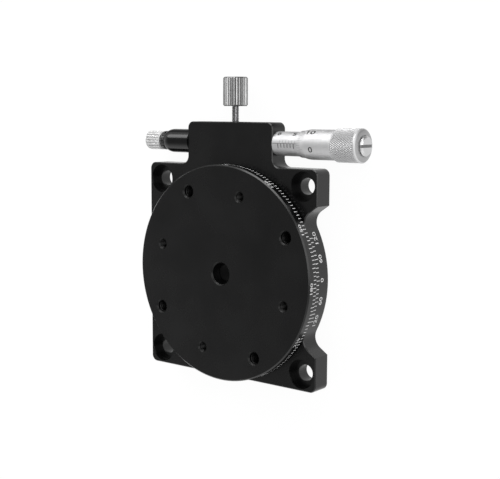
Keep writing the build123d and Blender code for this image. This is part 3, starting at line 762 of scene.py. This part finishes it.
def add_thread(work, place, start, end, crest, root, pitch, segments):
    """A helical V thread from start to end, with plain ends."""
    turns = (end - start) / pitch
    levels = ((0.0, root), (0.15, root), (0.5, crest), (0.85, root), (1.0, root))
    previous = None
    for i in range(ceil(turns * segments) + 1):
        turn = 2 * pi * i / segments
        along = start + pitch * i / segments
        line = []
        for share, radius in levels:
            x = min(end, max(start, along + (share - 1) * pitch))
            line.append(work.verts.new(place(x, radius, turn)))
        if previous:
            for a, b, c, d in zip(previous, previous[1:], line[1:], line):
                work.faces.new((a, b, c, d))
        previous = line


# The two screws that carry knobs: a thread on a plain core, and a point on the clamp screw
screw_pitch = 0.4
screw_segments = 18
screw_thread_depth = 0.14
crest_lift = 0.004
screw_point = 0.2
screw_point_taper = 0.25


def threaded_screw(name, place, start, end, radius, point, body):
    """A screw whose thread begins where its point ends."""
    work = bmesh.new()
    core = radius - screw_thread_depth
    thread_start = start + point
    add_thread(
        work, place, thread_start, end, radius + crest_lift, core, screw_pitch, screw_segments
    )
    profile = [(start, 0), (thread_start, core), (end, core), (end, 0)]
    if point:
        profile.insert(1, (start, radius - screw_point_taper))
    turn_profile(work, profile, screw_segments, place)
    bmesh.ops.recalc_face_normals(work, faces=work.faces)
    return finish_piece(name, work, screw_metal, body)


clamp_rod = threaded_screw(
    "clamp_thread", on_clamp, clamp_screw_low.y, clamp_screw_high.y, clamp_screw_radius,
    screw_point, "clamp_knob",
)
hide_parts("clamp_screw")
preload_rod = threaded_screw(
    "preload_thread", on_drive, preload_screw_low.x, preload_screw_high.x, preload_screw_radius,
    0, "preload_knob",
)
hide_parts("preload_screw")


def hole_mouth_profile(radius):
    """The countersink of a hole in the table's face, as points (height, radius)."""
    top = table_top + mark_lift
    return [(top, radius + hole_mouth), (top - hole_mouth, radius)]


def on_table_axis(along, radius, turn):
    """A point on a piece turned about the table's axis."""
    return Vector((radius * cos(turn), radius * sin(turn), along))


# Threads inside the table's tapped holes, and dark cones over the mouths of all its holes, both in
# a black darker than the anodising: painted shade
hole_thread_end = table_top - 0.4
hole_thread_depth = 0.16
root_lift = 0.02
large_pitch = 0.7
small_pitch = 0.5
hole_segments = 24
centre_segments = 48
hole_threads = bmesh.new()
for count in range(4):
    for circle, radius, pitch, turn in (
        (large_hole_circle, large_hole_radius, large_pitch, hole_angle + 90 * count),
        (small_hole_circle, small_hole_radius, small_pitch, hole_angle + 45 + 90 * count),
    ):
        middle = Vector((circle * cos(radians(turn)), circle * sin(radians(turn)), 0))

        def in_hole(along, radius, angle, middle=middle):
            """A point on a piece turned about this hole's axis."""
            return middle + Vector((radius * cos(angle), radius * sin(angle), along))

        add_thread(
            hole_threads, in_hole, web_bottom, hole_thread_end, radius - hole_thread_depth,
            radius + root_lift, pitch, hole_segments,
        )
        turn_profile(hole_threads, hole_mouth_profile(radius), hole_segments, in_hole)
turn_profile(hole_threads, hole_mouth_profile(centre_hole_radius), centre_segments, on_table_axis)
finish_piece("tapped_threads", hole_threads, hole_shade_black, "table")

# Spring as a round coil, clear of its seat when the preload screw is fully in
wire_sides = 8
coil_segments = 20
coil = bmesh.new()
coil_radius = spring_outer_radius - spring_wire_radius
coil_low_x = spring_low.x + preload_travel
coil_start = coil_low_x + spring_wire_radius
coil_length = spring_high.x - coil_low_x - 2 * spring_wire_radius
coil_turns = coil_length / spring_pitch
coil_lines = ceil(coil_turns * coil_segments)
slope = spring_pitch / (2 * pi)
previous = None
for i in range(coil_lines + 1):
    share = i / coil_lines
    turn = 2 * pi * coil_turns * share
    tangent = Vector((slope, coil_radius * cos(turn), -coil_radius * sin(turn))).normalized()
    outward = Vector((0, sin(turn), cos(turn)))
    side = tangent.cross(outward)
    centre = on_drive(coil_start + coil_length * share, coil_radius, turn)
    ring = []
    for k in range(wire_sides):
        around = 2 * pi * k / wire_sides
        reach = spring_wire_radius * (cos(around) * outward + sin(around) * side)
        ring.append(coil.verts.new(centre + reach))
    if previous:
        for k in range(wire_sides):
            after = (k + 1) % wire_sides
            coil.faces.new((previous[k], previous[after], ring[after], ring[k]))
    else:
        coil.faces.new(ring)
    previous = ring
coil.faces.new(list(reversed(previous)))
bmesh.ops.recalc_face_normals(coil, faces=coil.faces)
spring_coil = finish_piece("spring_coil", coil, spring_wire, None)
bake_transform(spring_coil)
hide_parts("plunger_spring")

# Camera
camera = bpy.data.objects.new("camera", bpy.data.cameras.new("camera"))
bpy.context.scene.collection.objects.link(camera)
camera.data.sensor_width = sensor_width
camera.data.lens = sensor_width * focal_pixels / photo_width
camera.data.clip_start = clip_near
camera.data.clip_end = clip_far
forward = (camera_target - camera_place).normalized()
right = forward.cross(Vector((0, 1, 0))).normalized()
up = right.cross(forward)
upright = Matrix((right, up, -forward)).transposed().to_4x4()
roll = Matrix.Rotation(-camera_roll, 4, "Z")
camera.matrix_world = Matrix.Translation(camera_place) @ upright @ roll
bpy.context.scene.camera = camera

# Lights, in metres and watts: a key from the upper left, a strip above the drive and a large fill
# from the camera's right
stage_middle = Vector((0.005, 0.02, 0.004))


def add_light(name, direction, distance, size, size_y, power):
    """A rectangular lamp that faces the stage from a direction."""
    light = bpy.data.lights.new(name, "AREA")
    light.shape = "RECTANGLE"
    light.size = size
    light.size_y = size_y
    light.energy = power
    lamp = bpy.data.objects.new(name, light)
    bpy.context.scene.collection.objects.link(lamp)
    place = stage_middle + Vector(direction).normalized() * distance
    lamp.location = place
    lamp.rotation_euler = (stage_middle - place).to_track_quat("-Z", "Y").to_euler()


add_light("key", (-0.62, 0.60, 0.48), distance=0.55, size=0.26, size_y=0.20, power=0.78)
add_light("top", (0.05, 0.92, 0.35), distance=0.55, size=0.50, size_y=0.18, power=1.5)
add_light("fill", (0.85, 0.25, 0.75), distance=0.8, size=0.6, size_y=0.6, power=2.6)

# World: white to the camera. Metal sees it white near the horizon, dimmer overhead and a little
# brighter towards -Y
overhead_strength = 0.30
card_strength = 0.4
world = bpy.data.worlds.new("studio")
bpy.context.scene.world = world
world.use_nodes = True
world_tree = world.node_tree
background = world_tree.nodes["Background"]
background.inputs["Color"].default_value = (1, 1, 1, 1)
world_place = world_tree.nodes.new("ShaderNodeTexCoord")
split = world_tree.nodes.new("ShaderNodeSeparateXYZ")
world_tree.links.new(world_place.outputs["Generated"], split.inputs["Vector"])
height = add_ramp(
    world_tree, split.outputs["Z"], 1.0, overhead_strength, start=0.3, end=0.75,
    interpolation="SMOOTHSTEP",
)
card = add_ramp(
    world_tree, split.outputs["Y"], 0.0, card_strength, start=-0.25, end=-0.6,
    interpolation="SMOOTHSTEP",
)
world_rays = world_tree.nodes.new("ShaderNodeLightPath")
world_strength = world_tree.nodes.new("ShaderNodeMix")
world_strength.inputs["B"].default_value = 1.0
world_tree.links.new(world_rays.outputs["Is Camera Ray"], world_strength.inputs["Factor"])
world_tree.links.new(add_math(world_tree, "ADD", height, card), world_strength.inputs["A"])
world_tree.links.new(world_strength.outputs["Result"], background.inputs["Strength"])

# Floor, in metres: white to the camera, and it keeps part of the stage's shadow. Metal reflects it
# too, but with a painted shadow under the stage and a painted dark reflection beyond the drive,
# which the camera doesn't see
floor_size = 3.0
floor_gap = 0.0002
floor_z = cad_box[0].z - floor_gap
camera_glow = 1.05
camera_glow_share = 0.9
full_glow = 0.95
beyond_drive_glow = 0.2
under_stage_glow = 0.1
bpy.ops.mesh.primitive_plane_add(size=floor_size, location=(0, 0, floor_z))
floor_plane = bpy.context.object
floor_plane.name = "floor"
floor_material, floor_tree, floor_shader = new_material("floor_white")
floor_shader.inputs["Base Color"].default_value = (0.70, 0.70, 0.70, 1)
floor_shader.inputs["Roughness"].default_value = 0.9
floor_shader.inputs["Specular IOR Level"].default_value = 0.0
rays = floor_tree.nodes.new("ShaderNodeLightPath")
to_camera = rays.outputs["Is Camera Ray"]
to_metal = rays.outputs["Is Glossy Ray"]
floor_place = floor_tree.nodes.new("ShaderNodeTexCoord")
floor_split = floor_tree.nodes.new("ShaderNodeSeparateXYZ")
floor_tree.links.new(floor_place.outputs["Object"], floor_split.inputs["Vector"])
floor_radius = floor_tree.nodes.new("ShaderNodeVectorMath")
floor_radius.operation = "LENGTH"
floor_tree.links.new(floor_place.outputs["Object"], floor_radius.inputs[0])
# Painted dark reflection beyond the drive, and painted shadow under the stage, for glossy rays
# only
beyond_drive = add_ramp(
    floor_tree, floor_split.outputs["Y"], full_glow, beyond_drive_glow, start=0.040, end=0.046
)
under_stage = add_ramp(
    floor_tree, floor_radius.outputs["Value"], under_stage_glow, full_glow, start=0.018, end=0.024
)
reflected = add_math(floor_tree, "MINIMUM", beyond_drive, under_stage)
glow_strength = add_math(
    floor_tree, "MAXIMUM", add_math(floor_tree, "MULTIPLY", to_camera, camera_glow),
    add_math(floor_tree, "MULTIPLY", to_metal, reflected),
)
glow = floor_tree.nodes.new("ShaderNodeEmission")
floor_tree.links.new(glow_strength, glow.inputs["Strength"])
camera_share = add_math(floor_tree, "MULTIPLY", to_camera, camera_glow_share)
floor_mix = floor_tree.nodes.new("ShaderNodeMixShader")
glow_share = add_math(floor_tree, "MAXIMUM", camera_share, to_metal)
floor_tree.links.new(glow_share, floor_mix.inputs["Fac"])
floor_tree.links.new(floor_shader.outputs["BSDF"], floor_mix.inputs[1])
floor_tree.links.new(glow.outputs["Emission"], floor_mix.inputs[2])
floor_output = floor_tree.nodes["Material Output"]
floor_tree.links.new(floor_mix.outputs["Shader"], floor_output.inputs["Surface"])
floor_plane.data.materials.append(floor_material)

bpy.context.scene.view_settings.view_transform = "Standard"
